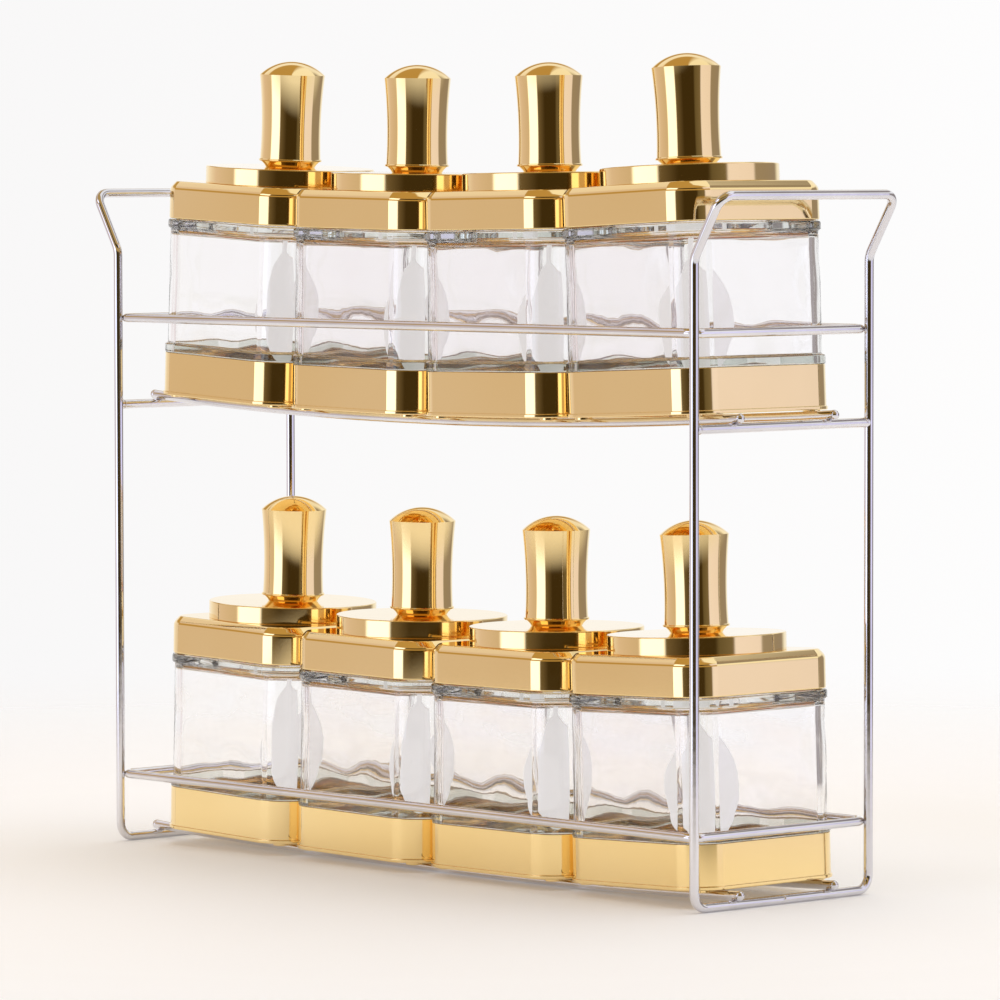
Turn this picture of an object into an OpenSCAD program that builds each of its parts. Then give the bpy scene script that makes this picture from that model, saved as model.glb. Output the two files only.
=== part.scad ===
// Two-tier wire spice rack with four square glass jars on each tier.
// Frame: +X along the row of jars, +Y to the back, +Z up, origin on the table
// under the middle of the rack. Each jar has a gold cup under it and a gold lid
// whose knob holds a spoon by one central stud.

/* [Rack] */
// Diameter of the steel wire
wire_d = 3.2; // [2.8:0.1:3.4]
// Distance between the centre-lines of the two side frames
frame_span = 298.4; // [296:0.2:340]
// Distance between the front and back uprights of a side frame
frame_depth = 81.4; // [79:0.2:100]
// Height of the handle bar's centre-line
handle_h = 234.8; // [226:0.2:260]
// Height at which the uprights bend outward
flare_h = 214.3; // [205:0.1:216]
// How far the handle bar stands outside the uprights
flare_out = 12.5; // [6:0.5:16]
// Centre-line radius of the four corners of a side frame
corner_r = 5; // [4:0.5:8]
// Centre-line radius of the outward bend
flare_r = 8; // [5:0.5:12]
// Height of the crossbars that carry the upper tier
crossbar_h = 158.6; // [157:0.2:164]
// Depth of a welded crossing of two wires
weld_sink = 0.2; // [0.1:0.05:0.4]
// How far a crossbar's end sinks into its upright
butt_sink = 0.8; // [0.4:0.1:1.2]

/* [Tiers] */
// Distance of each floor wire from the middle of the rack
floor_wire_y = 22; // [18:0.2:22]
// How far a floor wire reaches past the wire that carries it
floor_overhang = 2.2; // [1.8:0.1:4]
// Radius of the rounded ends of a floor wire
ball_r = 1.7; // [1.7:0.05:1.8]
// Sag of the upper floor wires under the jars
upper_sag = 4.8; // [3:0.1:4.8]
// Place of the lowest point of the upper floor wires along the rack
upper_low_x = 0; // [-10:1:10]
// Sag of the lower floor wires under the jars
lower_sag = 3; // [1:0.1:3]
// Place of the lowest point of the lower floor wires along the rack
lower_low_x = 25; // [0:1:25]
// Height of the guard rail round the upper tier
upper_rail_h = 189.9; // [182:0.1:192]
// Height of the guard rail round the lower tier
lower_rail_h = 24.7; // [18:0.1:26]
// Centre-line radius of a guard rail's corners
rail_corner_r = 4; // [3:0.5:5]

/* [Jars] */
// Distance between neighbouring jars
jar_pitch = 71.2; // [71:0.1:71.3]
// Distance from the middle of the rack to the middle of the upper row of jars
upper_shift = 2; // [0:0.1:4.4]
// Distance from the middle of the rack to the middle of the lower row of jars
lower_shift = 4.4; // [0:0.1:4.4]
// Gap between a floor wire and the cup that stands on it
seat_gap = 0.25; // [0.2:0.05:0.4]

/* [Base cup] */
// Half the width of the cup
cup_half = 34.3; // [34:0.1:34.3]
// Corner radius of the cup
cup_r = 11.1; // [9:0.1:12]
// Height of the cup
cup_h = 15.3; // [13:0.1:17]
// Wall thickness of the cup
cup_wall = 1; // [0.8:0.1:1.2]
// Thickness of the cup's floor
cup_floor = 1.4; // [1:0.1:1.6]
// How far the cup's bottom lip stands out
lip_out = 0.5; // [0.3:0.1:0.5]
// Height of the cup's bottom lip
lip_h = 1.3; // [0.8:0.1:2]
// Radius of a foot pad
foot_r = 3; // [2:0.1:3]
// Height of a foot pad
foot_h = 1; // [0.5:0.1:1.2]
// Distance of a foot pad from the cup's two middle planes
foot_xy = 27; // [27:0.1:27.5]

/* [Glass] */
// Half the width of the glass between its two flanges
glass_half = 33.4; // [33:0.1:33.6]
// Half the width of the glass inside the cup
heel_half = 32.7; // [32:0.1:32.8]
// Half the width of the flange that sits on the cup
foot_flange_half = 34.5; // [34:0.1:34.5]
// Height of the flange that sits on the cup
foot_flange_h = 3.2; // [2:0.1:4]
// Half the width of the shoulder under the lid
shoulder_half = 34.4; // [34:0.1:34.4]
// Height of the shoulder under the lid
shoulder_h = 3.2; // [2:0.1:3.4]
// Height of the shoulder's top over the cup's underside
shoulder_top = 63.2; // [60:0.1:64]
// Wall thickness of the glass
glass_wall = 3; // [2.5:0.1:3.5]
// Height of the glass floor's upper face over the cup's underside
glass_floor_h = 10; // [8:0.5:11]
// Outer radius of the round neck
neck_r = 30; // [29.5:0.1:31]
// Radius of the round mouth
mouth_r = 27; // [26.5:0.1:27.5]
// Height of the neck over the shoulder
neck_h = 8; // [6:0.5:9]

/* [Lid and knob] */
// Half the width of the lid
lid_half = 34; // [33:0.1:34]
// Corner radius of the lid
lid_r = 10.8; // [9:0.1:12]
// Height of the lid
lid_h = 13.3; // [12.8:0.1:14]
// Thickness of the lid's walls and top
lid_wall = 1.4; // [1:0.1:1.6]
// Width of the bevel round the lid's top
lid_bevel = 2.4; // [1:0.1:2.6]
// Gap between the lid and the glass shoulder
lid_gap = 0.3; // [0.2:0.05:0.4]
// Outer radius of the ring under the lid that centres it in the mouth
plug_r = 25.4; // [24.5:0.1:25.5]
// How far the ring reaches below the lid's top plate
plug_h = 8; // [6:0.5:9]
// Radius of the round plate on the lid
disc_r = 30.2; // [28:0.1:31]
// Height of the round plate
disc_h = 6.1; // [4:0.1:6.5]
// Wall thickness of the round plate and the knob
shell_wall = 1.2; // [1:0.1:1.5]
// Radius of the knob at its waist
knob_r = 10.6; // [9:0.1:11.5]
// Radius of the knob's upper edge
knob_top_r = 11.7; // [11.6:0.1:12.5]
// Height of the knob's upper edge over the round plate
knob_edge_h = 33.1; // [28:0.1:34]
// Height of the knob's dome over its upper edge
dome_h = 4.8; // [3:0.1:5]
// Radius of the stud that clamps knob, plate, lid and spoon
stud_r = 2.5; // [2:0.1:3]

/* [Spoon] */
// Half the width of the spoon's bowl
bowl_half = 12; // [9:0.5:13]
// Height of the bowl's lower edge over the cup's underside
bowl_low = 12.5; // [12:0.5:16]
// Height of the bowl's upper end over the cup's underside
bowl_top = 53; // [50:0.5:56]
// Radius of the sphere that the bowl is bent to
bowl_bend_r = 60; // [50:1:80]
// Thickness of the spoon's bowl
bowl_wall = 1.5; // [1.2:0.1:2]
// Width of the spoon's neck
spoon_neck_w = 2.6; // [2.2:0.1:4]
// Thickness of the spoon's neck
spoon_neck_t = 2; // [1.8:0.1:3]
// Radius of the socket at the top of the spoon
socket_r = 5; // [4.5:0.1:6]
// Height of the socket at the top of the spoon
socket_h = 8; // [7:0.5:9]
// How far the spoon is turned about the stud
spoon_turn = 30; // [0:5:90]

/* [Hidden] */
$fn = 96;
PLACES = [1, 2, 3, 4];
TIERS = ["upper", "lower"];
JAR_PIECES = ["base_cup", "glass_jar", "lid", "lid_disc", "knob", "spoon"];

eps = 0.01;
arc_fn = 1440;
bore_clear = 0.1;
stud_depth = 6;
seam = 0.1;

wire_r = wire_d / 2;
half_span = frame_span / 2;
half_depth = frame_depth / 2;
flare_angle = atan(flare_out / (handle_h - flare_h));
flare_tangent = flare_r * tan(flare_angle / 2);
flared_h = (handle_h - flare_h) / cos(flare_angle);
weld_pitch = wire_d - weld_sink;
rail_inset = (weld_pitch + rail_corner_r) / sqrt(2) - rail_corner_r;

// Everything on a jar is measured from the underside of its cup.
lip_half = cup_half + lip_out;
neck_top = shoulder_top + neck_h;
lid_base = shoulder_top + lid_gap;
lid_top = lid_base + lid_h;
plate_under = lid_top - lid_wall;
knob_base = lid_top + disc_h;

// Height of a tier's floor wires where they cross the wires that carry them.
function carried_h(tier) = weld_pitch + (tier == "upper" ? crossbar_h : wire_r);
function sag(tier) = tier == "upper" ? upper_sag : lower_sag;
function low_x(tier) = tier == "upper" ? upper_low_x : lower_low_x;
function row_shift(tier) = tier == "upper" ? upper_shift : lower_shift;

// A floor wire is two arcs that share their lowest point: reach is how far the
// arc on one side runs from there to the wire that carries it. The arcs' radii
// are whole millimetres, so that the two end faces meet exactly.
function reach(tier, side) = half_span - side * low_x(tier);
function arc_r(tier, side) = round((pow(reach(tier, side), 2) + pow(sag(tier), 2)) / (2 * sag(tier)));
function wire_top(tier, x) =
    let (run = x - low_x(tier), radius = arc_r(tier, run < 0 ? -1 : 1))
    carried_h(tier) - sag(tier) + radius - sqrt(radius * radius - run * run) + wire_r;

// A jar stands on the two points of the wires under its lip's edges.
function jar_x(tier, place) = row_shift(tier) + (place - 2.5) * jar_pitch;
function seat(tier, place, side) = wire_top(tier, jar_x(tier, place) + side * lip_half) + seat_gap;
function jar_lean(tier, place) =
    atan((seat(tier, place, -1) - seat(tier, place, 1)) / (2 * lip_half));
function jar_z(tier, place) = (seat(tier, place, -1) + seat(tier, place, 1)) / 2;

module straight(length) cylinder(r = wire_r, h = length);

// A bend that starts at the origin going up and turns towards +X.
module bend(radius, angle)
    translate([radius, 0, 0]) rotate([90, 0, 0])
        rotate_extrude(angle = angle, start = 180 - angle)
            translate([radius, 0]) circle(r = wire_r);

module rounded_square(half, radius) {
    flat = half - radius;
    square([2 * half, 2 * flat], center = true);
    square([2 * flat, 2 * half], center = true);
    for (x = [-1, 1], y = [-1, 1]) translate([x * flat, y * flat]) circle(r = radius);
}

module slab(half, radius, low, high)
    translate([0, 0, low]) linear_extrude(high - low) rounded_square(half, radius);

module post(radius, low, high) translate([0, 0, low]) cylinder(r = radius, h = high - low);

// One closed loop of wire: bar on the table, two uprights, flared handle.
module side_frame(side) color("gainsboro") mirror([side < 0 ? 1 : 0, 0, 0])
    translate([half_span, 0, 0]) {
        bar = frame_depth - 2 * corner_r;
        foot = wire_r + corner_r;
        upright = flare_h - flare_tangent - foot;
        translate([0, -bar / 2, wire_r]) rotate([-90, 0, 0]) straight(bar);
        for (end = [-1, 1]) translate([0, end * half_depth, 0]) {
            translate([0, 0, foot]) mirror([0, 0, 1]) rotate([0, 0, -end * 90]) bend(corner_r, 90);
            translate([0, 0, foot]) straight(upright);
            translate([0, 0, foot + upright]) bend(flare_r, flare_angle);
        }
        translate([0, 0, flare_h]) rotate([0, flare_angle, 0]) {
            for (end = [-1, 1]) translate([0, end * half_depth, 0]) {
                translate([0, 0, flare_tangent]) straight(flared_h - corner_r - flare_tangent);
                translate([0, 0, flared_h - corner_r]) rotate([0, 0, -end * 90]) bend(corner_r, 90);
            }
            translate([0, -bar / 2, flared_h]) rotate([-90, 0, 0]) straight(bar);
        }
    }

module crossbar(side) color("gainsboro") {
    length = frame_depth - wire_d + 2 * butt_sink;
    translate([side * half_span, -length / 2, crossbar_h]) rotate([-90, 0, 0]) straight(length);
}

module guard_rail(height) color("gainsboro") translate([0, 0, height]) {
    x_bar = half_span - rail_inset - rail_corner_r;
    y_bar = half_depth - rail_inset - rail_corner_r;
    for (s = [-1, 1]) {
        translate([-x_bar, s * (y_bar + rail_corner_r), 0]) rotate([0, 90, 0]) straight(2 * x_bar);
        translate([s * (x_bar + rail_corner_r), -y_bar, 0]) rotate([-90, 0, 0]) straight(2 * y_bar);
        for (t = [-1, 1]) translate([s * x_bar, t * y_bar, 0])
            rotate([0, 0, s > 0 ? (t > 0 ? 0 : -90) : (t > 0 ? 90 : 180)])
                rotate_extrude(angle = 90) translate([rail_corner_r, 0]) circle(r = wire_r);
    }
}

module floor_wire(tier, y) color("gainsboro")
    for (side = [-1, 1]) {
        radius = arc_r(tier, side);
        sweep = asin((reach(tier, side) + floor_overhang) / radius);
        translate([low_x(tier), y, carried_h(tier) - sag(tier) + radius]) rotate([90, 0, 0]) {
            rotate_extrude(angle = sweep, start = side < 0 ? -90 - sweep : -90, $fn = arc_fn)
                translate([radius, 0]) circle(r = wire_r, $fn = 48);
            rotate([0, 0, -90 + side * sweep]) translate([radius, 0, 0]) sphere(r = ball_r);
        }
    }

// Gold cup under the glass, with a lip at the bottom and four foot pads.
module base_cup() color("gold") {
    difference() {
        union() {
            slab(lip_half, cup_r + lip_out, 0, lip_h);
            slab(cup_half, cup_r, lip_h, cup_h);
        }
        slab(cup_half - cup_wall, cup_r - cup_wall, cup_floor, cup_h + eps);
    }
    for (x = [-1, 1], y = [-1, 1]) translate([x * foot_xy, y * foot_xy, 0]) post(foot_r, -foot_h, 0);
}

// Thick-bottomed square glass with a flange on the cup, a shoulder and a round neck.
module glass_jar() color("azure", 0.4) {
    shoulder_base = shoulder_top - shoulder_h;
    flange_top = cup_h + foot_flange_h;
    inner_half = glass_half - glass_wall;
    difference() {
        union() {
            slab(heel_half, cup_r - cup_wall - 0.6, cup_floor + seam, cup_h);
            slab(foot_flange_half, cup_r + 0.2, cup_h, flange_top);
            slab(glass_half, cup_r - 0.9, flange_top, shoulder_base);
            slab(shoulder_half, cup_r + seam, shoulder_base, shoulder_top);
            post(neck_r, shoulder_top, neck_top);
        }
        slab(inner_half, cup_r - glass_wall - 0.9, glass_floor_h, shoulder_base - 1);
        post(mouth_r, shoulder_base - 1 - eps, neck_top + eps);
    }
}

// A bevelled top: four corner cones and two crossed wedges.
module bevelled_slab(half, radius, bevel) {
    flat = half - radius;
    for (x = [-1, 1], y = [-1, 1]) translate([x * flat, y * flat, 0])
        cylinder(r1 = radius, r2 = radius - bevel, h = bevel);
    for (turn = [0, 90]) rotate([90, 0, turn]) linear_extrude(2 * flat, center = true)
        polygon([[-half, 0], [half, 0], [half - bevel, bevel], [bevel - half, bevel]]);
}

// Square gold lid with a centring ring inside.
module lid() color("gold") {
    difference() {
        union() {
            slab(lid_half, lid_r, lid_base, lid_top - lid_bevel);
            translate([0, 0, lid_top - lid_bevel]) bevelled_slab(lid_half, lid_r, lid_bevel);
        }
        slab(lid_half - lid_wall, lid_r - lid_wall, lid_base - eps, lid_top - lid_bevel - eps);
        slab(lid_half - lid_bevel, lid_r - lid_bevel, lid_top - lid_bevel - 2 * eps, plate_under);
        post(stud_r + bore_clear, plate_under - eps, lid_top + eps);
    }
    difference() {
        post(plug_r, plate_under - plug_h, plate_under);
        post(plug_r - lid_wall, plate_under - plug_h - eps, plate_under + eps);
    }
}

// Round gold plate between the lid and the knob, hollow underneath.
module lid_disc() color("gold") translate([0, 0, lid_top]) rotate_extrude() {
    edge = 0.4;
    inner = disc_r - shell_wall;
    plate = disc_h - shell_wall;
    polygon([
        [stud_r + bore_clear, plate], [inner, plate], [inner, 0], [disc_r, 0],
        [disc_r, disc_h - edge], [disc_r - edge, disc_h], [stud_r + bore_clear, disc_h]
    ]);
}

// Half of the knob's outline: tapered collar, thin flange, waisted body, dome.
module knob_outline() {
    collar_h = 2.2;
    collar_low_r = knob_r - 1.8;
    flange_h = 0.8;
    flange_out = 0.7;
    waist_h = 13;
    body_base = collar_h + flange_h;
    flare = knob_top_r - knob_r;
    rise = knob_edge_h - waist_h;
    waist_arc = (rise * rise + flare * flare) / (2 * flare);
    dome_r = knob_top_r - 0.1;
    dome_arc = (dome_r * dome_r + dome_h * dome_h) / (2 * dome_h);
    polygon([[0, 0], [collar_low_r, 0], [knob_r + 0.2, collar_h], [0, collar_h]]);
    translate([0, collar_h]) square([knob_r + flange_out, flange_h]);
    difference() {
        translate([0, body_base]) square([knob_top_r + 1, knob_edge_h - body_base]);
        translate([knob_r + waist_arc, waist_h]) circle(r = waist_arc, $fn = arc_fn);
    }
    intersection() {
        translate([0, knob_edge_h + dome_h - dome_arc]) circle(r = dome_arc, $fn = 240);
        translate([0, knob_edge_h]) square([knob_top_r, dome_h + eps]);
    }
}

// Hollow gold knob with the stud that goes down through plate and lid.
module knob() color("gold") translate([0, 0, knob_base]) {
    hollow_r = knob_r - shell_wall - 1.8;
    hollow_top = knob_edge_h - shell_wall;
    stud_low = plate_under - stud_depth - knob_base;
    difference() {
        rotate_extrude() knob_outline();
        post(hollow_r, -eps, hollow_top);
    }
    post(stud_r, stud_low, hollow_top + eps);
}

// Two equal arcs that cross at the bowl's two ends.
module crossed_arcs(arc, half_length)
    translate([0, bowl_top - half_length]) intersection() {
        translate([arc - bowl_half, 0]) circle(r = arc, $fn = 360);
        translate([bowl_half - arc, 0]) circle(r = arc, $fn = 360);
    }

// Outline of the spoon's bowl, standing up: two crossed arcs and a round end.
module bowl_outline() {
    half_length = (bowl_top - bowl_low) / 2 + 1;
    arc = (half_length * half_length + bowl_half * bowl_half) / (2 * bowl_half);
    round_end = 0.85 * bowl_half;
    intersection() {
        crossed_arcs(arc, half_length);
        translate([-bowl_half, bowl_low]) square([2 * bowl_half, 2 * half_length]);
    }
    translate([0, bowl_low + round_end]) circle(r = round_end);
}

// White spoon: socket on the stud, neck, and a bowl bent to a sphere.
module spoon() color("white") rotate([0, 0, spoon_turn]) {
    middle = (bowl_low + bowl_top) / 2;
    sphere_y = -sqrt(pow(bowl_bend_r, 2) - pow(bowl_top - middle, 2));
    socket_base = plate_under - socket_h;
    difference() {
        post(socket_r, socket_base, plate_under);
        post(stud_r + bore_clear, plate_under - stud_depth - bore_clear, plate_under + eps);
    }
    translate([-spoon_neck_w / 2, -spoon_neck_t / 2, bowl_top - 3])
        cube([spoon_neck_w, spoon_neck_t, socket_base - bowl_top + 3]);
    intersection() {
        rotate([90, 0, 0]) linear_extrude(4 * bowl_half, center = true) bowl_outline();
        translate([0, sphere_y, middle]) difference() {
            sphere(r = bowl_bend_r + bowl_wall / 2, $fn = 360);
            sphere(r = bowl_bend_r - bowl_wall / 2, $fn = 360);
        }
    }
}

module at_jar(tier, place) translate([jar_x(tier, place), 0, jar_z(tier, place)])
    rotate([0, jar_lean(tier, place), 0]) children();

module jar_piece(piece) {
    if (piece == "base_cup") base_cup();
    if (piece == "glass_jar") glass_jar();
    if (piece == "lid") lid();
    if (piece == "lid_disc") lid_disc();
    if (piece == "knob") knob();
    if (piece == "spoon") spoon();
}

side_frame(-1);  // side_frame_left
side_frame(1);  // side_frame_right
crossbar(-1);  // crossbar_left
crossbar(1);  // crossbar_right
guard_rail(upper_rail_h);  // guard_rail_upper
guard_rail(lower_rail_h);  // guard_rail_lower
for (tier = TIERS) {
    floor_wire(tier, -floor_wire_y);
    floor_wire(tier, floor_wire_y);
}
for (tier = TIERS, piece = JAR_PIECES, place = PLACES)
    at_jar(tier, place) jar_piece(piece);
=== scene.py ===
import math

import bmesh
import bpy
import numpy as np
from mathutils import Matrix, Quaternion, Vector, noise


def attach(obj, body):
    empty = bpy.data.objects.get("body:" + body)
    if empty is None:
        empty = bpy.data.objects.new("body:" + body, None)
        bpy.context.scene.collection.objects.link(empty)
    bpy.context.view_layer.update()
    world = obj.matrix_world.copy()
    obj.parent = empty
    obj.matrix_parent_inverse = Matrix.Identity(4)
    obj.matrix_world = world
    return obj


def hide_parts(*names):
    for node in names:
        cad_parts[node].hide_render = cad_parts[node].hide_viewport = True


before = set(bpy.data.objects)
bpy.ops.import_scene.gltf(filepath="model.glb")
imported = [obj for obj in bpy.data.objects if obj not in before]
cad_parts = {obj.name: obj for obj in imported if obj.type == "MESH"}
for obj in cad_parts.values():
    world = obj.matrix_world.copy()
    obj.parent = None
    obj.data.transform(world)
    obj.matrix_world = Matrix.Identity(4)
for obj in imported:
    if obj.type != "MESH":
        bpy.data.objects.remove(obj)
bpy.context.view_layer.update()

# Two-tier wire spice rack with eight square glass jars: smooth meshes, materials
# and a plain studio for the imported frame. Sizes below are in millimetres.
MM = 0.001
TIERS = ("upper", "lower")
PLACES = (1, 2, 3, 4)

# --- Rack ---------------------------------------------------------------------
WIRE_R = 1.6
WELD_SINK = 0.2
HALF_SPAN = 149.2
HALF_DEPTH = 40.7
HANDLE_H = 234.8
FLARE_H = 214.3
FLARE_OUT = 12.5
FLARE_R = 8
CORNER_R = 5
CROSSBAR_H = 158.6
RAIL_H = {"upper": 189.9, "lower": 24.7}
RAIL_CORNER_R = 4
WELD_PITCH = 2 * WIRE_R - WELD_SINK
RAIL_INSET = (WELD_PITCH + RAIL_CORNER_R) / math.sqrt(2) - RAIL_CORNER_R
FLOOR_WIRE_Y = 22
FLOOR_OVERHANG = 2.2
BALL_R = 1.7
CARRIED_H = {"upper": CROSSBAR_H + WELD_PITCH, "lower": WIRE_R + WELD_PITCH}
SAG = {"upper": 4.8, "lower": 3}
LOW_X = {"upper": 0, "lower": 25}

# --- Jars, measured from the underside of the cup --------------------------------
JAR_PITCH = 71.2
ROW_SHIFT = {"upper": 2, "lower": 4.4}
SEAT_GAP = 0.25
FLAT = 23.2
CUP_HALF = 34.3
CUP_H = 15.3
CUP_WALL = 1
CUP_FLOOR = 1.4
LIP_HALF = 34.8
LIP_H = 1.3
FOOT_R = 3
FOOT_H = 1
FOOT_XY = 27
HEEL_HALF = 32.7
FOOT_FLANGE_HALF = 34.5
FOOT_FLANGE_TOP = 18.5
GLASS_HALF = 33.4
GLASS_WALL = 3
GLASS_FLOOR_H = 10
SHOULDER_HALF = 34.4
SHOULDER_LOW = 60
SHOULDER_TOP = 63.2
NECK_R = 30
NECK_TOP = 71.2
MOUTH_R = 27
LID_HALF = 34
LID_LOW = 63.5
LID_TOP = 76.8
LID_WALL = 1.4
LID_BEVEL = 2.4
PLATE_UNDER = LID_TOP - LID_WALL
PLUG_R = 25.4
PLUG_H = 8
DISC_R = 30.2
DISC_TOP = 82.9
SHELL_WALL = 1.2
KNOB_R = 10.6
KNOB_TOP_R = 11.7
KNOB_EDGE_H = 33.1
WAIST_H = 13
DOME_H = 4.8
COLLAR_H = 2.2
COLLAR_LOW_R = 8.8
KNOB_FLANGE_H = 0.8
KNOB_FLANGE_R = 11.3
STUD_R = 2.5
STUD_DEPTH = 6
BORE_R = STUD_R + 0.1
BOWL_HALF = 12
BOWL_LOW = 12.5
BOWL_TOP = 53
BOWL_BEND_R = 60
BOWL_WALL = 1.5
SPOON_NECK_W = 2.6
SPOON_NECK_T = 2
SPOON_TURN = 30
SOCKET_R = 5
SOCKET_H = 8

# A square's corner turns sharply by CREASE_ANGLE on leaving a flat side
CREASE_ANGLE = 11
CREASE_R = 3

# How far the pressed glass's inner faces wander
WALL_WAVE = 0.35
FLOOR_WAVE = 1.2


# --- Mesh helpers ---------------------------------------------------------------
def arc_points(centre, radius, start, end, steps):
    """Points on an arc in a plane, from start to end, both in degrees."""
    angles = np.radians(np.linspace(start, end, steps + 1))
    return [(centre[0] + radius * math.cos(a), centre[1] + radius * math.sin(a)) for a in angles]


def filleted(corners, steps=4):
    """Rounds an outline's corners. Each corner is (out, z, flat, fillet radius)."""
    points = []
    for i, (out, z, flat, radius) in enumerate(corners):
        if radius == 0 or i in (0, len(corners) - 1):
            points.append((out, z, flat))
            continue
        here = Vector((out, z))
        before = Vector(corners[i - 1][:2]) - here
        after = Vector(corners[i + 1][:2]) - here
        angle = before.angle(after)
        cut = min(radius / math.tan(angle / 2), 0.49 * before.length, 0.49 * after.length)
        start = here + before.normalized() * cut
        end = here + after.normalized() * cut
        for k in range(steps + 1):
            t = k / steps
            point = start * (1 - t) ** 2 + here * 2 * t * (1 - t) + end * t ** 2
            points.append((point.x, point.y, flat))
    return points


def corner_points(out, flat, steps):
    """One corner of a rounded square: two tight turns with a wide arc between them."""
    cut = max(out - flat, 0)
    tight = min(CREASE_R, cut)
    crease = math.radians(CREASE_ANGLE if flat else 0)
    slope = math.cos(crease) - math.sin(crease)
    wide = (cut - tight * (1 - slope)) / slope
    x, y = out, out - cut
    points = [(x, y)]
    bends = [
        (tight, 0, crease, 2),
        (wide, crease, math.pi / 2 - crease, steps - 4),
        (tight, math.pi / 2 - crease, math.pi / 2, 2),
    ]
    for radius, start, end, count in bends:
        angles = np.linspace(start, end, count + 1)
        for before, after in zip(angles, angles[1:]):
            x += radius * (math.cos(after) - math.cos(before))
            y += radius * (math.sin(after) - math.sin(before))
            points.append((x, y))
    return points


def ring(out, z, flat, steps, cuts):
    """A rounded square of half width out, whose straight sides are 2 * flat long."""
    flat = min(flat, out)
    points = []
    for corner in range(4):
        turn = Matrix.Rotation(math.radians(90 * corner), 2)
        for point in corner_points(out, flat, steps):
            x, y = turn @ Vector(point)
            points.append(Vector((x, y, z)))
        along = Matrix.Rotation(math.radians(90 * corner + 90), 2)
        for k in range(1, cuts):
            x, y = along @ Vector((out, -flat + 2 * flat * k / cuts))
            points.append(Vector((x, y, z)))
    return points


def skin(bm, rings, closed):
    """Joins rings that have the same number of points into a surface."""
    loops = [[bm.verts.new(p) for p in points] for points in rings]
    pairs = list(zip(loops, loops[1:]))
    if closed:
        pairs.append((loops[-1], loops[0]))
    for low, high in pairs:
        for i in range(len(low)):
            j = (i + 1) % len(low)
            bm.faces.new((low[i], low[j], high[j], high[i]))
    return loops


def turned(bm, profile, steps=12, closed=False, cuts=1):
    """Sweeps an outline of (out, z, flat) points round the jar's axis."""
    skin(bm, [ring(out, z, flat, steps, cuts) for out, z, flat in profile], closed)


def divided(outline, pieces):
    """Cuts each stretch of an outline that is longer than a few millimetres."""
    points = [outline[0]]
    for before, after in zip(outline, outline[1:]):
        length = math.dist(before[:2], after[:2])
        count = max(1, round(length / pieces))
        points += [tuple(np.array(before) + (np.array(after) - np.array(before)) * k / count)
                   for k in range(1, count)]
        points.append(after)
    return points


def finished(bm, name, material, sharp=40):
    """Makes an object from a bmesh: merged, smooth, with sharp edges kept."""
    bmesh.ops.remove_doubles(bm, verts=bm.verts, dist=0.002)
    bmesh.ops.dissolve_degenerate(bm, edges=bm.edges, dist=0.001)
    bmesh.ops.recalc_face_normals(bm, faces=bm.faces)
    limit = math.radians(sharp)
    for face in bm.faces:
        face.smooth = True
    for edge in bm.edges:
        edge.smooth = edge.calc_face_angle(0) < limit
    mesh = bpy.data.meshes.new(name)
    bm.to_mesh(mesh)
    bm.free()
    piece = bpy.data.objects.new(name, mesh)
    bpy.context.scene.collection.objects.link(piece)
    mesh.materials.append(material)
    weighted = piece.modifiers.new("flat_faces", "WEIGHTED_NORMAL")
    weighted.keep_sharp = True
    weighted.weight = 80
    return piece


def placed(piece, matrix):
    """Puts a mesh that was made in millimetres where it belongs in the frame."""
    piece.data.transform(Matrix.Scale(MM, 4) @ matrix)
    return piece


def stands_for(piece, node, body):
    """Hides the part that a finished piece replaces, and attaches the piece to the body it rides on."""
    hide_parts(node)
    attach(piece, body)


# --- Materials ------------------------------------------------------------------
def new_material(name, **inputs):
    """A material with a Principled shader, whose sockets are set by name."""
    material = bpy.data.materials.new(name)
    material.use_nodes = True
    shader = material.node_tree.nodes["Principled BSDF"]
    for socket, value in inputs.items():
        shader.inputs[socket.replace("_", " ")].default_value = value
    return material, material.node_tree, shader


def noise_field(tree, scale, detail=3, stretch=(1, 1, 1)):
    """A noise pattern fixed to the object, scale in cycles per metre."""
    place = tree.nodes.new("ShaderNodeTexCoord")
    mapping = tree.nodes.new("ShaderNodeMapping")
    mapping.inputs["Scale"].default_value = stretch
    pattern = tree.nodes.new("ShaderNodeTexNoise")
    pattern.inputs["Scale"].default_value = scale
    pattern.inputs["Detail"].default_value = detail
    tree.links.new(place.outputs["Object"], mapping.inputs["Vector"])
    tree.links.new(mapping.outputs["Vector"], pattern.inputs["Vector"])
    return pattern.outputs["Fac"]


def varied(tree, field, low, high, socket):
    """Lets a socket run from low to high with a pattern."""
    spread = tree.nodes.new("ShaderNodeMapRange")
    spread.inputs["From Min"].default_value = 0.3
    spread.inputs["From Max"].default_value = 0.7
    spread.inputs["To Min"].default_value = low
    spread.inputs["To Max"].default_value = high
    tree.links.new(field, spread.inputs["Value"])
    tree.links.new(spread.outputs["Result"], socket)


def tinted(tree, field, first, second, socket):
    """Lets a colour run between two tints with a pattern."""
    ramp = tree.nodes.new("ShaderNodeValToRGB")
    ramp.color_ramp.elements[0].position = 0.35
    ramp.color_ramp.elements[0].color = (*first, 1)
    ramp.color_ramp.elements[1].position = 0.65
    ramp.color_ramp.elements[1].color = (*second, 1)
    tree.links.new(field, ramp.inputs["Fac"])
    tree.links.new(ramp.outputs["Color"], socket)


def bumped(tree, shader, field, distance, strength=1.0):
    """Adds a fine bump from a pattern, distance in metres."""
    bump = tree.nodes.new("ShaderNodeBump")
    bump.inputs["Distance"].default_value = distance
    bump.inputs["Strength"].default_value = strength
    tree.links.new(field, bump.inputs["Height"])
    tree.links.new(bump.outputs["Normal"], shader.inputs["Normal"])


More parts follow.
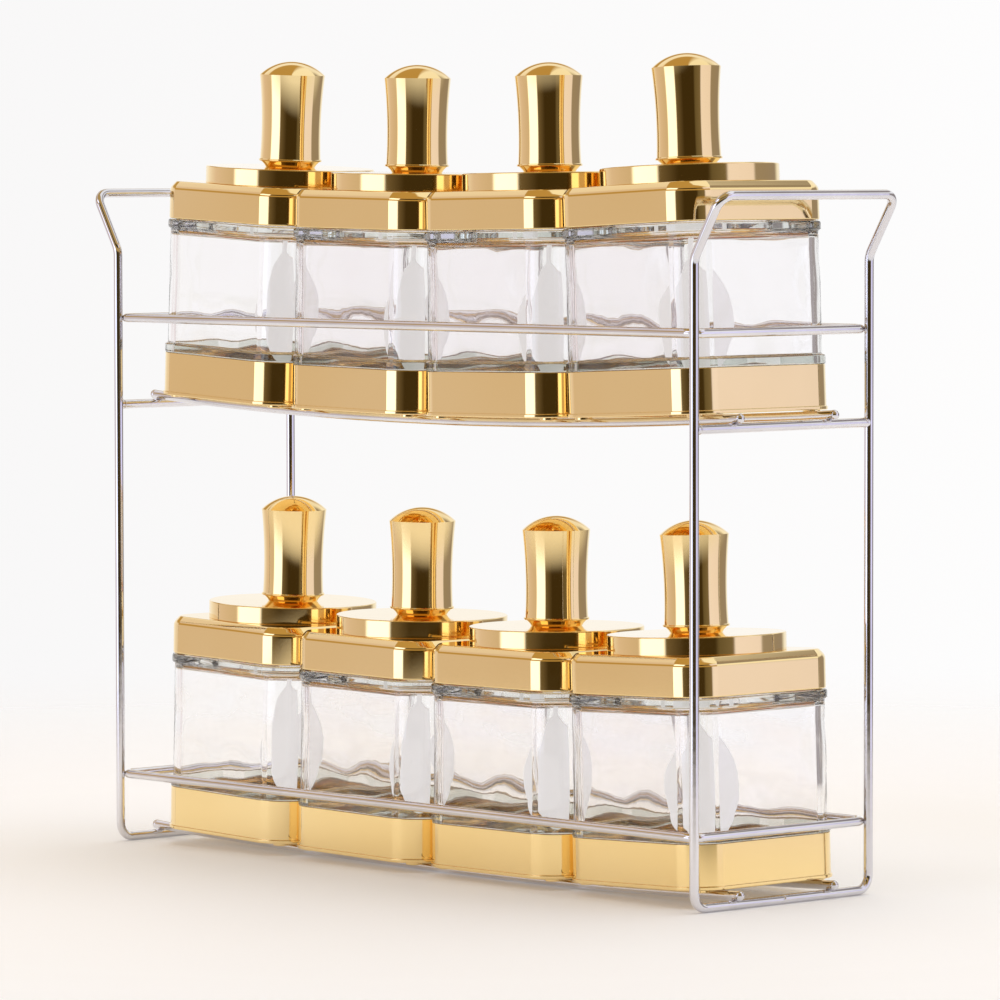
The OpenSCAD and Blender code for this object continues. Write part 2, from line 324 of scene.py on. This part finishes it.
def gold_material(name, first, second, roughness, wave):
    """Polished gold plating on thin sheet, slightly uneven as pressed sheet is."""
    material, tree, shader = new_material(name, Metallic=1.0)
    tinted(tree, noise_field(tree, 9), first, second, shader.inputs["Base Color"])
    varied(tree, noise_field(tree, 60, 6), roughness, 1.8 * roughness, shader.inputs["Roughness"])
    bumped(tree, shader, noise_field(tree, 22, 1), wave)
    return material


def chrome_material():
    """Bright nickel-chrome plating on drawn wire."""
    material, tree, shader = new_material("chrome_wire", Metallic=1.0)
    tinted(tree, noise_field(tree, 30), (0.71, 0.70, 0.73), (0.81, 0.80, 0.82), shader.inputs["Base Color"])
    varied(tree, noise_field(tree, 120, 5), 0.04, 0.1, shader.inputs["Roughness"])
    bumped(tree, shader, noise_field(tree, 160, 2), 0.00003)
    return material


def glass_material(name, first, second):
    """Pressed glass with a faintly wavy face."""
    material, tree, shader = new_material(name, Transmission_Weight=1.0, IOR=1.5)
    tinted(tree, noise_field(tree, 40), first, second, shader.inputs["Base Color"])
    varied(tree, noise_field(tree, 80, 5), 0.0, 0.012, shader.inputs["Roughness"])
    bumped(tree, shader, noise_field(tree, 45, 1), 0.0001)
    return material


def plastic_material():
    """Milky polypropylene on a mid-grey base; most of its white is a painted glow, emission 0.69, which
    stands for the light that soaks through it.
    """
    # Painted glow: the emission, not the grey base colour, gives most of the spoon's white.
    material, tree, shader = new_material(
        "milky_plastic", IOR=1.4, Emission_Color=(1, 0.97, 0.97, 1), Emission_Strength=0.69)
    tinted(tree, noise_field(tree, 25), (0.27, 0.26, 0.26), (0.31, 0.30, 0.30), shader.inputs["Base Color"])
    varied(tree, noise_field(tree, 150, 5), 0.25, 0.4, shader.inputs["Roughness"])
    bumped(tree, shader, noise_field(tree, 400, 2), 0.00002)
    return material


GOLD_PALE, GOLD_DEEP = (0.97, 0.76, 0.39), (0.94, 0.71, 0.33)
CHROME = chrome_material()
GOLD_CUP = gold_material("gold_cup", GOLD_PALE, GOLD_DEEP, 0.05, 0.00004)
GOLD_LID = gold_material("gold_lid", GOLD_PALE, GOLD_DEEP, 0.04, 0.00004)
GOLD_DISC = gold_material("gold_disc", GOLD_PALE, GOLD_DEEP, 0.05, 0.00003)
GOLD_KNOB = gold_material("gold_knob", GOLD_PALE, GOLD_DEEP, 0.03, 0.00003)
GLASS = glass_material("clear_glass", (0.988, 0.982, 0.975), (0.996, 0.99, 0.985))
THICK_GLASS = glass_material("thick_glass", (0.56, 0.58, 0.53), (0.80, 0.82, 0.78))
PLASTIC = plastic_material()


# --- Rack pieces ----------------------------------------------------------------
def corner_arc(points, corner, before, after, radius, steps=8):
    """Adds a rounded corner of a wire's path, given the points before and after it."""
    to_before = (before - corner).normalized()
    to_after = (after - corner).normalized()
    half_angle = to_before.angle(to_after) / 2
    middle = corner + (to_before + to_after).normalized() * radius / math.sin(half_angle)
    first = corner + to_before * radius / math.tan(half_angle) - middle
    last = corner + to_after * radius / math.tan(half_angle) - middle
    turn = first.rotation_difference(last)
    for k in range(steps + 1):
        points.append(middle + Quaternion().slerp(turn, k / steps) @ first)


def rounded_path(corners, radii, closed=True):
    """A wire's centre-line through corners, each bent to its own radius."""
    points = []
    count = len(corners)
    for i, (corner, radius) in enumerate(zip(corners, radii)):
        if not closed and i in (0, count - 1):
            points.append(corner)
        else:
            corner_arc(points, corner, corners[i - 1], corners[(i + 1) % count], radius)
    return points


def tube(bm, points, radius, closed, sides=20, swell=None):
    """A round wire along a path. swell(point) gives a factor on its radius."""
    count = len(points)
    rings = []
    side_dir = None
    for i, point in enumerate(points):
        before = points[i - 1] if closed or i > 0 else point
        after = points[(i + 1) % count] if closed or i < count - 1 else point
        along = (after - before).normalized()
        if side_dir is None:
            side_dir = along.orthogonal()
        side_dir = (side_dir - along * side_dir.dot(along)).normalized()
        other = along.cross(side_dir)
        size = radius * (swell(point) if swell else 1)
        rings.append([
            point + (side_dir * math.cos(a) + other * math.sin(a)) * size
            for a in (2 * math.pi * k / sides for k in range(sides))
        ])
    return skin(bm, rings, closed)


def ball(bm, centre, radius, squash=(1, 1, 1)):
    """A small rounded lump, such as a weld or a wire's rounded end."""
    shape = Matrix.Translation(centre) @ Matrix.Diagonal((*squash, 1)) @ Matrix.Scale(radius, 4)
    bmesh.ops.create_uvsphere(bm, u_segments=20, v_segments=12, radius=1, matrix=shape)


def side_frame(side):
    """One closed loop of wire, with the butt weld in the middle of its lowest bar."""
    x, y = side * HALF_SPAN, HALF_DEPTH
    out = side * (HALF_SPAN + FLARE_OUT)
    corners = [
        Vector((x, -y, WIRE_R)), Vector((x, -y, FLARE_H)), Vector((out, -y, HANDLE_H)),
        Vector((out, y, HANDLE_H)), Vector((x, y, FLARE_H)), Vector((x, y, WIRE_R)),
    ]
    radii = [CORNER_R, FLARE_R, CORNER_R, CORNER_R, FLARE_R, CORNER_R]
    points = rounded_path(corners, radii)
    points += [Vector((x, y_weld, WIRE_R)) for y_weld in (0.6, 0.25, 0, -0.25, -0.6)]
    bm = bmesh.new()
    tube(bm, points, WIRE_R, True, swell=lambda p: 0.86 if abs(p.y) < 0.1 and p.z < 5 else 1)
    name = "side_frame_left" if side < 0 else "side_frame_right"
    piece = placed(finished(bm, name + "_wire", CHROME, 60), Matrix())
    stands_for(piece, name, "rack")


def crossbar(side):
    """The bar that carries the upper tier, with a weld bead at each upright."""
    x, reach = side * HALF_SPAN, HALF_DEPTH - WIRE_R + 0.8
    bm = bmesh.new()
    ends = [Vector((x, -reach, CROSSBAR_H)), Vector((x, reach, CROSSBAR_H))]
    tube(bm, ends, WIRE_R, False)
    bmesh.ops.holes_fill(bm, edges=bm.edges)
    for end in (-1, 1):
        ball(bm, (x, end * (HALF_DEPTH - 1.35 * WIRE_R), CROSSBAR_H), WIRE_R, (1.08, 0.6, 1.08))
    name = "crossbar_left" if side < 0 else "crossbar_right"
    piece = placed(finished(bm, name + "_wire", CHROME, 60), Matrix())
    stands_for(piece, name, "rack")


def guard_rail(tier):
    """The loop of wire inside the four uprights, set in so that it touches each of them."""
    x, y, z = HALF_SPAN - RAIL_INSET, HALF_DEPTH - RAIL_INSET, RAIL_H[tier]
    corners = [Vector((-x, -y, z)), Vector((x, -y, z)), Vector((x, y, z)), Vector((-x, y, z))]
    bm = bmesh.new()
    tube(bm, rounded_path(corners, [RAIL_CORNER_R] * 4), WIRE_R, True)
    piece = placed(finished(bm, f"guard_rail_{tier}_wire", CHROME, 60), Matrix())
    stands_for(piece, f"guard_rail_{tier}", "rack")


def arc_radius(tier, side):
    """Radius of a floor wire's arc on one side of its lowest point."""
    reach = HALF_SPAN - side * LOW_X[tier]
    return round((reach ** 2 + SAG[tier] ** 2) / (2 * SAG[tier]))


def floor_height(tier, x):
    """Height of a floor wire's centre-line at x."""
    run = x - LOW_X[tier]
    radius = arc_radius(tier, -1 if run < 0 else 1)
    return CARRIED_H[tier] - SAG[tier] + radius - math.sqrt(radius ** 2 - run ** 2)


def floor_wire(tier, row):
    """A sagging wire that the jars stand on, with rounded ends."""
    y = -FLOOR_WIRE_Y if row == "front" else FLOOR_WIRE_Y
    end = HALF_SPAN + FLOOR_OVERHANG
    points = [Vector((x, y, floor_height(tier, x))) for x in np.linspace(-end, end, 61)]
    bm = bmesh.new()
    tube(bm, points, WIRE_R, False)
    bmesh.ops.holes_fill(bm, edges=bm.edges)
    for tip in (points[0], points[-1]):
        ball(bm, tip, BALL_R)
    name = f"floor_wire_{tier}_{row}"
    piece = placed(finished(bm, name + "_wire", CHROME, 60), Matrix())
    stands_for(piece, name, "rack")


# --- Jar pieces, in millimetres from the underside of the cup ---------------------
def base_cup_mesh(name):
    """Pressed gold cup with a rolled lip round the bottom and four foot pads."""
    bm = bmesh.new()
    inner = CUP_HALF - CUP_WALL
    turned(bm, filleted([
        (0, 0, 0, 0),
        (LIP_HALF, 0, FLAT, 0.4),
        (LIP_HALF, LIP_H, FLAT, 0.35),
        (CUP_HALF, LIP_H, FLAT, 0.1),
        (CUP_HALF, CUP_H, FLAT, 0.25),
        (inner, CUP_H, FLAT, 0.25),
        (inner, CUP_FLOOR, FLAT, 0.8),
        (0, CUP_FLOOR, 0, 0),
    ]))
    for x in (-FOOT_XY, FOOT_XY):
        for y in (-FOOT_XY, FOOT_XY):
            pad = bmesh.new()
            turned(pad, filleted([
                (0, -FOOT_H, 0, 0), (FOOT_R, -FOOT_H, 0, 0.3), (FOOT_R, 0.2, 0, 0), (0, 0.2, 0, 0),
            ]), 8)
            bmesh.ops.translate(pad, verts=pad.verts, vec=(x, y, 0))
            spare = bpy.data.meshes.new("pad")
            pad.to_mesh(spare)
            pad.free()
            bm.from_mesh(spare)
            bpy.data.meshes.remove(spare)
    return finished(bm, name, GOLD_CUP)


def glass_jar_mesh(name):
    """Pressed glass with two flanges, a round neck and an uneven thick bottom."""
    inner = GLASS_HALF - GLASS_WALL
    bm = bmesh.new()
    turned(bm, divided(filleted([
        (0, CUP_FLOOR + 0.1, FLAT, 0),
        (HEEL_HALF, CUP_FLOOR + 0.1, FLAT, 1.2),
        (HEEL_HALF, CUP_H, FLAT, 0.2),
        (FOOT_FLANGE_HALF, CUP_H, FLAT, 0.6),
        (FOOT_FLANGE_HALF, FOOT_FLANGE_TOP, FLAT, 1.2),
        (GLASS_HALF, FOOT_FLANGE_TOP + 0.2, FLAT, 0.5),
        (GLASS_HALF, SHOULDER_LOW, FLAT, 0.8),
        (SHOULDER_HALF, SHOULDER_LOW + 0.3, FLAT, 0.9),
        (SHOULDER_HALF, SHOULDER_TOP, FLAT, 0.9),
        (NECK_R, SHOULDER_TOP, 0, 0.6),
        (NECK_R, NECK_TOP, 0, 0.8),
        (MOUTH_R, NECK_TOP, 0, 0.8),
        (MOUTH_R, SHOULDER_LOW, 0, 1),
        (inner, SHOULDER_LOW - 1, FLAT, 3),
        (inner, GLASS_FLOOR_H, FLAT, 5),
        (0, GLASS_FLOOR_H, FLAT, 0),
    ], 5), 3.5), 12, cuts=12)
    for vert in bm.verts:
        wave = noise.noise_vector(vert.co / 11 + Vector((3, 7, 1)))
        inside = max(abs(vert.co.x), abs(vert.co.y)) < inner + 0.1
        if inside and GLASS_FLOOR_H + 4 < vert.co.z < SHOULDER_LOW - 5:
            vert.co += Vector((wave.x, wave.y, 0)) * WALL_WAVE
        elif inside and vert.co.z < GLASS_FLOOR_H + 4:
            vert.co.z += wave.z * FLOOR_WAVE
    jar = finished(bm, name, GLASS, 50)
    jar.data.materials.append(THICK_GLASS)
    for face in jar.data.polygons:
        shoulder = SHOULDER_LOW < face.center.z < SHOULDER_TOP + 0.1
        foot = CUP_H < face.center.z < FOOT_FLANGE_TOP
        if (shoulder or foot) and math.hypot(face.center.x, face.center.y) > NECK_R + 1:
            face.material_index = 1
    return jar


def lid_mesh(name):
    """Square gold lid with a bevel, and the ring that centres it in the mouth."""
    inner = LID_HALF - LID_WALL
    bm = bmesh.new()
    turned(bm, filleted([
        (BORE_R, LID_TOP, 0, 0),
        (LID_HALF - LID_BEVEL, LID_TOP, FLAT, 1.2),
        (LID_HALF, LID_TOP - LID_BEVEL, FLAT, 3),
        (LID_HALF, LID_LOW, FLAT, 0.5),
        (inner, LID_LOW, FLAT, 0.25),
        (inner, PLATE_UNDER, FLAT, 0.6),
        (PLUG_R, PLATE_UNDER, 0, 0.2),
        (PLUG_R, PLATE_UNDER - PLUG_H, 0, 0.3),
        (PLUG_R - LID_WALL, PLATE_UNDER - PLUG_H, 0, 0.3),
        (PLUG_R - LID_WALL, PLATE_UNDER, 0, 0.2),
        (BORE_R, PLATE_UNDER, 0, 0),
    ]), closed=True)
    return finished(bm, name, GOLD_LID)


def lid_disc_mesh(name):
    """Round gold plate on the lid, hollow underneath, with a fine rounded edge."""
    inner = DISC_R - SHELL_WALL
    bm = bmesh.new()
    turned(bm, filleted([
        (BORE_R, DISC_TOP, 0, 0),
        (DISC_R, DISC_TOP, 0, 0.5),
        (DISC_R, LID_TOP, 0, 0.15),
        (inner, LID_TOP, 0, 0.15),
        (inner, DISC_TOP - SHELL_WALL, 0, 0.5),
        (BORE_R, DISC_TOP - SHELL_WALL, 0, 0),
    ]), 24, closed=True)
    return finished(bm, name, GOLD_DISC)


def knob_mesh(name):
    """Hollow waisted knob with a thin flange, a domed top and the stud inside it."""
    flare = KNOB_TOP_R - KNOB_R
    rise = KNOB_EDGE_H - WAIST_H
    waist_arc = (rise ** 2 + flare ** 2) / (2 * flare)
    body_low = COLLAR_H + KNOB_FLANGE_H
    side = [
        (KNOB_R + waist_arc - math.sqrt(waist_arc ** 2 - (z - WAIST_H) ** 2), z)
        for z in np.linspace(body_low, KNOB_EDGE_H - 0.3, 18)
    ]
    dome_arc = (KNOB_TOP_R ** 2 + DOME_H ** 2) / (2 * DOME_H)
    edge_angle = math.degrees(math.asin((KNOB_TOP_R - 0.2) / dome_arc))
    dome = arc_points((0, KNOB_EDGE_H + DOME_H - dome_arc), dome_arc, 90 - edge_angle, 90, 14)
    hollow = COLLAR_LOW_R - SHELL_WALL
    hollow_top = KNOB_EDGE_H - SHELL_WALL
    stud_low = PLATE_UNDER - STUD_DEPTH - DISC_TOP
    inside = [(0, stud_low), (STUD_R, stud_low), (STUD_R, hollow_top), (hollow, hollow_top), (hollow, 0)]
    collar = [(COLLAR_LOW_R, 0), (COLLAR_LOW_R + 0.6, 1), (KNOB_R, COLLAR_H)]
    flange = [
        (KNOB_FLANGE_R - 0.15, COLLAR_H),
        (KNOB_FLANGE_R, COLLAR_H + 0.2),
        (KNOB_FLANGE_R, body_low - 0.2),
        (KNOB_FLANGE_R - 0.2, body_low),
    ]
    outline = inside + collar + flange + side + [(KNOB_TOP_R, KNOB_EDGE_H)] + dome
    bm = bmesh.new()
    turned(bm, [(out, DISC_TOP + z, 0) for out, z in outline], 14)
    return finished(bm, name, GOLD_KNOB)


def spoon_mesh(name):
    """Spoon: socket on the stud, neck, and a bowl bent to a sphere."""
    middle = (BOWL_LOW + BOWL_TOP) / 2
    half_length = (BOWL_TOP - BOWL_LOW) / 2 + 1
    arc = (half_length ** 2 + BOWL_HALF ** 2) / (2 * BOWL_HALF)
    round_end = 0.85 * BOWL_HALF
    neck_join = BOWL_TOP - 3
    socket_low = PLATE_UNDER - SOCKET_H
    chord = math.sqrt(BOWL_BEND_R ** 2 - (BOWL_TOP - middle) ** 2)

    def half_width(z):
        """Half the width of the bowl or the neck at a height."""
        across = arc ** 2 - (z - (BOWL_TOP - half_length)) ** 2
        width = math.sqrt(max(across, 0)) - arc + BOWL_HALF
        end = round_end ** 2 - (z - BOWL_LOW - round_end) ** 2
        if z < BOWL_LOW + 2 * round_end:
            width = max(width if z > BOWL_LOW + round_end else 0, math.sqrt(max(end, 0)))
        if z > neck_join - 6:
            width = max(width, SPOON_NECK_W / 2)
        return max(width, 0.05)

    def depth(x, z):
        """How far the bowl's middle surface lies behind the neck's axis."""
        if z > BOWL_TOP:
            return 0
        return math.sqrt(max(BOWL_BEND_R ** 2 - x ** 2 - (z - middle) ** 2, 0)) - chord

    heights = [BOWL_LOW + 2 * round_end * (1 - math.cos(t)) / 2 for t in np.linspace(0.12, math.pi / 2, 12)]
    heights += list(np.linspace(BOWL_LOW + round_end + 1, socket_low + 0.5, 40))
    rings = []
    sides = 28
    for z in heights:
        wide = half_width(z)
        blend = min(max((z - (neck_join - 4)) / 6, 0), 1)
        thick = (1 - blend) * BOWL_WALL / 2 + blend * SPOON_NECK_T / 2
        points = []
        for k in range(sides):
            turn = 2 * math.pi * k / sides
            across = math.copysign(abs(math.cos(turn)) ** 0.8, math.cos(turn)) * wide
            through = math.copysign(abs(math.sin(turn)) ** 0.6, math.sin(turn)) * thick
            points.append(Vector((across, depth(across, z) + through, z)))
        rings.append(points)
    bm = bmesh.new()
    loops = skin(bm, rings, False)
    for loop in (loops[0], loops[-1]):
        bm.faces.new(loop)
    turned(bm, filleted([
        (0, socket_low, 0, 0),
        (SOCKET_R, socket_low, 0, 0.8),
        (SOCKET_R, PLATE_UNDER, 0, 0.2),
        (BORE_R, PLATE_UNDER, 0, 0.2),
        (BORE_R, PLATE_UNDER - STUD_DEPTH - 0.1, 0, 0.2),
        (0, PLATE_UNDER - STUD_DEPTH - 0.1, 0, 0),
    ]), 8)
    bmesh.ops.transform(bm, verts=bm.verts, matrix=Matrix.Rotation(math.radians(SPOON_TURN), 4, "Z"))
    return finished(bm, name, PLASTIC, 50)


PIECES = {
    "base_cup": (base_cup_mesh, "jar", "gold_cup"),
    "glass_jar": (glass_jar_mesh, "jar", "clear_glass"),
    "lid": (lid_mesh, "lid_set", "gold_lid"),
    "lid_disc": (lid_disc_mesh, "lid_set", "gold_disc"),
    "knob": (knob_mesh, "lid_set", "gold_knob"),
    "spoon": (spoon_mesh, "lid_set", "milky_plastic"),
}


def jar_matrix(tier, place):
    """Where a jar stands: on the two points of the wires under its lip's edges."""
    x = ROW_SHIFT[tier] + (place - 2.5) * JAR_PITCH
    left = floor_height(tier, x - LIP_HALF) + WIRE_R + SEAT_GAP
    right = floor_height(tier, x + LIP_HALF) + WIRE_R + SEAT_GAP
    lean = math.atan((left - right) / (2 * LIP_HALF))
    return Matrix.Translation((x, 0, (left + right) / 2)) @ Matrix.Rotation(lean, 4, "Y")


def jars():
    """Every jar's pieces: each is built once and copied to the other seven jars."""
    for kind, (make, body, slot) in PIECES.items():
        pattern = make(kind)
        for tier in TIERS:
            for place in PLACES:
                node = f"{kind}_{tier}_{place}"
                piece = pattern.copy()
                piece.data = pattern.data.copy()
                piece.name = node + "_shape"
                bpy.context.scene.collection.objects.link(piece)
                placed(piece, jar_matrix(tier, place))
                stands_for(piece, node, f"{body}_{tier}_{place}")
        bpy.data.objects.remove(pattern)


# --- Studio ---------------------------------------------------------------------
CAMERA_AZIMUTH = math.radians(47.658)
CAMERA_PLACE = (1.58166, -1.43162, 0.24485)
CAMERA_RIGHT = Vector((0.67362, 0.73908, -0.00168))
CAMERA_UP = Vector((-0.03920, 0.03800, 0.99851))
LENS = 220.86


def camera():
    """A long lens, a little above the handles, to the right of the front."""
    data = bpy.data.cameras.new("camera")
    data.lens = LENS
    data.sensor_width = 36
    data.clip_end = 50
    view = bpy.data.objects.new("camera", data)
    back = CAMERA_RIGHT.cross(CAMERA_UP).normalized()
    up = back.cross(CAMERA_RIGHT).normalized()
    axes = Matrix((CAMERA_RIGHT.normalized(), up, back)).transposed().to_4x4()
    view.matrix_world = Matrix.Translation(CAMERA_PLACE) @ axes
    bpy.context.scene.collection.objects.link(view)
    bpy.context.scene.camera = view


def maths(tree, operation, first, second=None):
    """A Math node, whose inputs may be sockets or numbers."""
    node = tree.nodes.new("ShaderNodeMath")
    node.operation = operation
    for socket, value in zip(node.inputs, (first, second)):
        if value is None:
            continue
        if isinstance(value, (int, float)):
            socket.default_value = value
        else:
            tree.links.new(value, socket)
    return node.outputs[0]


# What stands round the rack, by angle from the camera: degrees to its right are
# positive. Each stop is (angle, colour), as linear light.
DARK_ROOM = (0.05, 0.032, 0.010)
WARM_CEILING = (0.52, 0.34, 0.12)
WHITE = (1.0, 1.0, 1.0)
COOL_LIGHT = (0.82, 0.91, 1.0)
STUDIO_WALLS = [
    (-180, WHITE),
    (-150, (0.97, 0.95, 0.95)),
    (-120, (0.75, 0.64, 0.64)),
    (-82, (0.66, 0.56, 0.51)),
    (-77, (1.7, 1.8, 2.2)),
    (-45, (1.6, 1.7, 2.1)),
    (-41, (0.16, 0.12, 0.07)),
    (-16, DARK_ROOM),
    (22, DARK_ROOM),
    (27, (0.14, 0.11, 0.06)),
    (46, (0.20, 0.16, 0.10)),
    (49, (0.93, 0.90, 1.20)),
    (88, (0.90, 0.86, 1.12)),
    (92, (0.34, 0.30, 0.29)),
    (138, (0.32, 0.28, 0.27)),
    (150, (0.92, 0.92, 0.92)),
    (180, WHITE),
]
STUDIO_CEILING = [
    (-180, WARM_CEILING),
    (60, WARM_CEILING),
    (75, WHITE),
    (158, WHITE),
    (172, WARM_CEILING),
]
# How much of the ceiling and of the floor shows, by the sine of the height angle; a
# strip of the bright walls comes back between two bands of the ceiling
CEILING_LEVELS = [(0.24, 0.0), (0.34, 1.0), (0.50, 1.0), (0.54, 0.0), (0.70, 0.0), (0.74, 1.0)]
FLOOR_LEVELS = [(-0.25, 1.0), (-0.12, 0.0)]


def colour_ramp(tree, stops, source):
    """A colour ramp whose stops are (position, colour)."""
    ramp = tree.nodes.new("ShaderNodeValToRGB")
    elements = ramp.color_ramp.elements
    while len(elements) < len(stops):
        elements.new(0.5)
    for element, (position, colour) in zip(elements, stops):
        element.position = position
        element.color = (*colour, 1)
    tree.links.new(source, ramp.inputs["Fac"])
    return ramp.outputs["Color"]


def blended(tree, amount, first, second):
    """A mix of two colours; each may be a socket or a plain colour."""
    mix = tree.nodes.new("ShaderNodeMix")
    mix.data_type = "RGBA"
    tree.links.new(amount, mix.inputs[0])
    for socket, colour in ((mix.inputs[6], first), (mix.inputs[7], second)):
        if isinstance(colour, tuple):
            socket.default_value = (*colour, 1)
        else:
            tree.links.new(colour, socket)
    return mix.outputs[2]


def studio_world():
    """Soft white studio: bright panels left and right of the camera, a dark room behind it."""
    world = bpy.data.worlds.new("studio")
    bpy.context.scene.world = world
    world.use_nodes = True
    tree = world.node_tree
    tree.nodes.clear()
    place = tree.nodes.new("ShaderNodeTexCoord")
    split = tree.nodes.new("ShaderNodeSeparateXYZ")
    tree.links.new(place.outputs["Generated"], split.inputs["Vector"])
    angle = maths(tree, "ARCTAN2", split.outputs["Y"], split.outputs["X"])
    from_camera = maths(tree, "ADD", angle, math.pi / 2 - CAMERA_AZIMUTH)
    wrapped = maths(tree, "WRAP", maths(tree, "DIVIDE", from_camera, 2 * math.pi), 0.5)
    wrapped.node.inputs[2].default_value = -0.5
    around = maths(tree, "ADD", wrapped, 0.5)
    upward = maths(tree, "ADD", maths(tree, "MULTIPLY", split.outputs["Z"], 0.5), 0.5)

    def by_angle(stops):
        """Colour by the angle from the camera."""
        return colour_ramp(tree, [(degrees / 360 + 0.5, colour) for degrees, colour in stops], around)

    def by_height(levels):
        """Grey level by the sine of the height angle."""
        return colour_ramp(tree, [(level / 2 + 0.5, (amount,) * 3) for level, amount in levels], upward)

    room = blended(tree, by_height(CEILING_LEVELS), by_angle(STUDIO_WALLS), by_angle(STUDIO_CEILING))
    room = blended(tree, by_height(FLOOR_LEVELS), room, (0.9, 0.88, 0.88))
    lit = tree.nodes.new("ShaderNodeBackground")
    tree.links.new(room, lit.inputs["Color"])

    to_right = tree.nodes.new("ShaderNodeVectorMath")
    to_right.operation = "DOT_PRODUCT"
    to_right.inputs[1].default_value = CAMERA_RIGHT
    tree.links.new(place.outputs["Generated"], to_right.inputs[0])
    spread = tree.nodes.new("ShaderNodeMapRange")
    spread.inputs["From Min"].default_value = -0.08
    spread.inputs["From Max"].default_value = 0.08
    tree.links.new(to_right.outputs["Value"], spread.inputs["Value"])
    backdrop = blended(tree, spread.outputs["Result"], (0.945, 0.937, 0.937), (0.985, 0.98, 0.98))
    seen = tree.nodes.new("ShaderNodeBackground")
    tree.links.new(backdrop, seen.inputs["Color"])
    rays = tree.nodes.new("ShaderNodeLightPath")
    either = tree.nodes.new("ShaderNodeMixShader")
    output = tree.nodes.new("ShaderNodeOutputWorld")
    tree.links.new(rays.outputs["Is Camera Ray"], either.inputs[0])
    tree.links.new(lit.outputs[0], either.inputs[1])
    tree.links.new(seen.outputs[0], either.inputs[2])
    tree.links.new(either.outputs[0], output.inputs["Surface"])


FLOOR_R = 0.9


def studio_floor():
    """A pale round floor that fades into the backdrop."""
    bm = bmesh.new()
    bmesh.ops.create_circle(bm, cap_ends=True, segments=96, radius=FLOOR_R)
    mesh = bpy.data.meshes.new("floor")
    bm.to_mesh(mesh)
    bm.free()
    floor = bpy.data.objects.new("floor", mesh)
    bpy.context.scene.collection.objects.link(floor)
    material = bpy.data.materials.new("floor")
    material.use_nodes = True
    tree = material.node_tree
    paper = tree.nodes["Principled BSDF"]
    paper.inputs["Base Color"].default_value = (0.9, 0.9, 0.9, 1)
    paper.inputs["Emission Color"].default_value = (1, 0.99, 1, 1)
    paper.inputs["Emission Strength"].default_value = 0.15
    paper.inputs["Roughness"].default_value = 0.6
    paper.inputs["Specular IOR Level"].default_value = 0.2
    place = tree.nodes.new("ShaderNodeTexCoord")
    away = tree.nodes.new("ShaderNodeVectorMath")
    away.operation = "LENGTH"
    tree.links.new(place.outputs["Object"], away.inputs[0])
    fade = tree.nodes.new("ShaderNodeMapRange")
    fade.interpolation_type = "SMOOTHSTEP"
    fade.inputs["From Min"].default_value = 0.2
    fade.inputs["From Max"].default_value = FLOOR_R
    tree.links.new(away.outputs["Value"], fade.inputs["Value"])
    clear = tree.nodes.new("ShaderNodeBsdfTransparent")
    either = tree.nodes.new("ShaderNodeMixShader")
    tree.links.new(fade.outputs["Result"], either.inputs[0])
    tree.links.new(paper.outputs[0], either.inputs[1])
    tree.links.new(clear.outputs[0], either.inputs[2])
    tree.links.new(either.outputs[0], tree.nodes["Material Output"].inputs["Surface"])
    mesh.materials.append(material)


def softbox(name, place, aim, size, power, colour=(1, 1, 1)):
    """A large soft area lamp at place, pointing at aim. It shows in no reflection."""
    data = bpy.data.lights.new(name, "AREA")
    data.shape = "RECTANGLE"
    data.size, data.size_y = size
    data.energy = power
    data.color = colour
    lamp = bpy.data.objects.new(name, data)
    lamp.location = place
    lamp.rotation_euler = (Vector(aim) - Vector(place)).to_track_quat("-Z", "Y").to_euler()
    lamp.visible_glossy = False
    lamp.visible_transmission = False
    bpy.context.scene.collection.objects.link(lamp)


def studio():
    """Camera, backdrop, floor and lamps."""
    camera()
    studio_world()
    studio_floor()
    softbox("overhead", (0.1, 0.1, 2.2), (0, 0, 0), (2.2, 1.8), 23, COOL_LIGHT)
    scene = bpy.context.scene
    scene.view_settings.view_transform = "Standard"
    scene.cycles.max_bounces = 28
    scene.cycles.transmission_bounces = 24
    scene.cycles.glossy_bounces = 12
    scene.cycles.transparent_max_bounces = 24


studio()
for side in (-1, 1):
    side_frame(side)
    crossbar(side)
for tier in TIERS:
    guard_rail(tier)
    floor_wire(tier, "front")
    floor_wire(tier, "rear")
jars()
